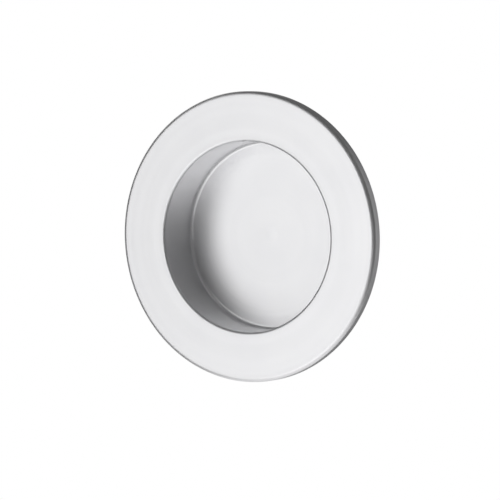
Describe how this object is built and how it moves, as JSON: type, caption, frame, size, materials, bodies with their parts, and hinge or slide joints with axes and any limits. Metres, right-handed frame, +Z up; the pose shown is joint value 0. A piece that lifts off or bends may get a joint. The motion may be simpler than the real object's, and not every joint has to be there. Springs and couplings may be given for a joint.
{
  "type": "pocket door pull",
  "caption": "Round flush pull for a pocket door: a flat flange with a rounded rim, a straight-walled finger recess, and a grooved barrel glued into a round hole.",
  "frame": {"origin": "on the pull's axis, in the plane where the back of the flange seats on the door", "axes": "+Y along the axis into the door, so the flange faces -Y; +Z up; +X to the right as seen by someone facing the door"},
  "size_m": [0.06, 0.0123, 0.06],
  "materials": {
    "anodised_aluminium": "satin, finely turned and natural anodised"
  },
  "bodies": {
    "root": {"flush_cup": "anodised_aluminium"}
  },
  "joints": []
}
